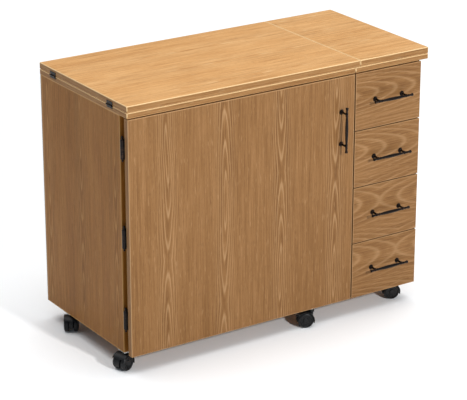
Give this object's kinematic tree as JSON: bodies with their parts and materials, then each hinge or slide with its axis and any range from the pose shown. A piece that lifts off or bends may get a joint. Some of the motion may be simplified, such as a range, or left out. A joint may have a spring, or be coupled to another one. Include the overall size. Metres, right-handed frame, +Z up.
{
  "type": "sewing table",
  "caption": "Closed sewing cabinet on swivel casters: folding top leaves, a lift for the machine, a full-height door and a bank of drawers.",
  "frame": {"origin": "on the floor, below the middle of the whole cabinet's box", "axes": "+Z up, -Y out of the front (door and drawers), +X towards the drawers"},
  "size_m": [1.0438, 0.5178, 0.788],
  "materials": {
    "oak_top": "satin oak laminate, light",
    "oak_front": "satin oak laminate",
    "oak_panel": "satin oak laminate",
    "hardboard": "printed hardboard",
    "drawer_wood": "lacquered birch ply",
    "dark_bronze": "satin oil-rubbed bronze",
    "caster_plastic": "moulded black",
    "wheel_plastic": "moulded black, scuffed tread",
    "black_steel": "black powder coat",
    "catch_plastic": "brown moulded",
    "zinc_steel": "zinc plated"
  },
  "bodies": {
    "cabinet": {"left_side_panel": "oak_panel", "right_side_panel": "oak_panel", "divider_panel": "oak_panel", "bottom_panel": "oak_panel", "back_panel": "hardboard", "hinge_stile": "oak_panel", "top_rails": "oak_panel", "worktop": "oak_top", "drawer_bank_top": "oak_top", "top_hinge_plates": "dark_bronze", "stile_hinge_plates": "dark_bronze", "door_hinge_pins": "dark_bronze", "door_catch": "catch_plastic", "cabinet_runners": "zinc_steel", "lift_guide_rails": "black_steel", "gas_spring_cylinder": "black_steel", "caster_plates": "zinc_steel"},
    "left_leaf": {"left_leaf": "oak_top", "left_leaf_hinge_plates": "dark_bronze"},
    "right_leaf": {"right_leaf": "oak_top", "right_leaf_hinge_plates": "dark_bronze"},
    "door": {"door_panel": "oak_front", "door_hinge_plates": "dark_bronze", "door_caster_socket": "zinc_steel", "door_strike_plate": "zinc_steel", "door_pull": "dark_bronze"},
    "lift": {"machine_platform": "oak_panel", "lift_carriage": "black_steel", "gas_spring_rod": "zinc_steel"},
    "drawer_1": {"drawer_1_front": "oak_front", "drawer_1_box": "drawer_wood", "drawer_1_pull": "dark_bronze", "drawer_1_runners": "zinc_steel"},
    "drawer_2": {"drawer_2_front": "oak_front", "drawer_2_box": "drawer_wood", "drawer_2_pull": "dark_bronze", "drawer_2_runners": "zinc_steel"},
    "drawer_3": {"drawer_3_front": "oak_front", "drawer_3_box": "drawer_wood", "drawer_3_pull": "dark_bronze", "drawer_3_runners": "zinc_steel"},
    "drawer_4": {"drawer_4_front": "oak_front", "drawer_4_box": "drawer_wood", "drawer_4_pull": "dark_bronze", "drawer_4_runners": "zinc_steel"},
    "caster_front_left_fork": {"caster_front_left_hood": "caster_plastic", "caster_front_left_pins": "zinc_steel"},
    "caster_front_left_wheels": {"caster_front_left_wheels": "wheel_plastic"},
    "caster_front_right_fork": {"caster_front_right_hood": "caster_plastic", "caster_front_right_pins": "zinc_steel"},
    "caster_front_right_wheels": {"caster_front_right_wheels": "wheel_plastic"},
    "caster_rear_left_fork": {"caster_rear_left_hood": "caster_plastic", "caster_rear_left_pins": "zinc_steel"},
    "caster_rear_left_wheels": {"caster_rear_left_wheels": "wheel_plastic"},
    "caster_rear_right_fork": {"caster_rear_right_hood": "caster_plastic", "caster_rear_right_pins": "zinc_steel"},
    "caster_rear_right_wheels": {"caster_rear_right_wheels": "wheel_plastic"},
    "caster_door_fork": {"caster_door_hood": "caster_plastic", "caster_door_pins": "zinc_steel"},
    "caster_door_wheels": {"caster_door_wheels": "wheel_plastic"}
  },
  "joints": [
    {"name": "left_leaf_fold", "type": "hinge", "parent": "cabinet", "child": "left_leaf", "pos_m": [-0.50074, 0.01589, 0.76915], "axis": [0, -1, 0], "range_deg": [0, 180]},
    {"name": "right_leaf_fold", "type": "hinge", "parent": "cabinet", "child": "right_leaf", "pos_m": [0.51966, 0.01589, 0.76915], "axis": [0, 1, 0], "range_deg": [0, 180]},
    {"name": "door_swing", "type": "hinge", "parent": "cabinet", "child": "door", "pos_m": [-0.49754, -0.19911, 0.40215], "axis": [0, 0, -1], "range_deg": [0, 180]},
    {"name": "machine_lift", "type": "slide", "parent": "cabinet", "child": "lift", "axis": [0, 0, 1], "range_m": [0, 0.309]},
    {"name": "drawer_1_slide", "type": "slide", "parent": "cabinet", "child": "drawer_1", "axis": [0, -1, 0], "range_m": [0, 0.3]},
    {"name": "drawer_2_slide", "type": "slide", "parent": "cabinet", "child": "drawer_2", "axis": [0, -1, 0], "range_m": [0, 0.3]},
    {"name": "drawer_3_slide", "type": "slide", "parent": "cabinet", "child": "drawer_3", "axis": [0, -1, 0], "range_m": [0, 0.3]},
    {"name": "drawer_4_slide", "type": "slide", "parent": "cabinet", "child": "drawer_4", "axis": [0, -1, 0], "range_m": [0, 0.3]},
    {"name": "caster_front_left_swivel", "type": "hinge", "parent": "cabinet", "child": "caster_front_left_fork", "pos_m": [-0.47754, -0.16711, 0.023], "axis": [0, 0, 1], "continuous": true},
    {"name": "caster_front_left_roll", "type": "hinge", "parent": "caster_front_left_fork", "child": "caster_front_left_wheels", "pos_m": [-0.49445, -0.17327, 0.023], "axis": [0.342, -0.9397, 0], "continuous": true},
    {"name": "caster_front_right_swivel", "type": "hinge", "parent": "cabinet", "child": "caster_front_right_fork", "pos_m": [0.45746, -0.18311, 0.023], "axis": [0, 0, 1], "continuous": true},
    {"name": "caster_front_right_roll", "type": "hinge", "parent": "caster_front_right_fork", "child": "caster_front_right_wheels", "pos_m": [0.44034, -0.17755, 0.023], "axis": [-0.309, -0.9511, 0], "continuous": true},
    {"name": "caster_rear_left_swivel", "type": "hinge", "parent": "cabinet", "child": "caster_rear_left_fork", "pos_m": [-0.47754, 0.15089, 0.023], "axis": [0, 0, 1], "continuous": true},
    {"name": "caster_rear_left_roll", "type": "hinge", "parent": "caster_rear_left_fork", "child": "caster_rear_left_wheels", "pos_m": [-0.48734, 0.13579, 0.023], "axis": [0.8387, -0.5446, 0], "continuous": true},
    {"name": "caster_rear_right_swivel", "type": "hinge", "parent": "cabinet", "child": "caster_rear_right_fork", "pos_m": [0.45746, 0.15089, 0.023], "axis": [0, 0, 1], "continuous": true},
    {"name": "caster_rear_right_roll", "type": "hinge", "parent": "caster_rear_right_fork", "child": "caster_rear_right_wheels", "pos_m": [0.44055, 0.14473, 0.023], "axis": [0.342, -0.9397, 0], "continuous": true},
    {"name": "caster_door_swivel", "type": "hinge", "parent": "door", "child": "caster_door_fork", "pos_m": [0.11846, -0.21811, 0.023], "axis": [0, 0, 1], "continuous": true},
    {"name": "caster_door_roll", "type": "hinge", "parent": "caster_door_fork", "child": "caster_door_wheels", "pos_m": [0.10215, -0.2105, 0.023], "axis": [-0.4226, -0.9063, 0], "continuous": true}
  ]
}
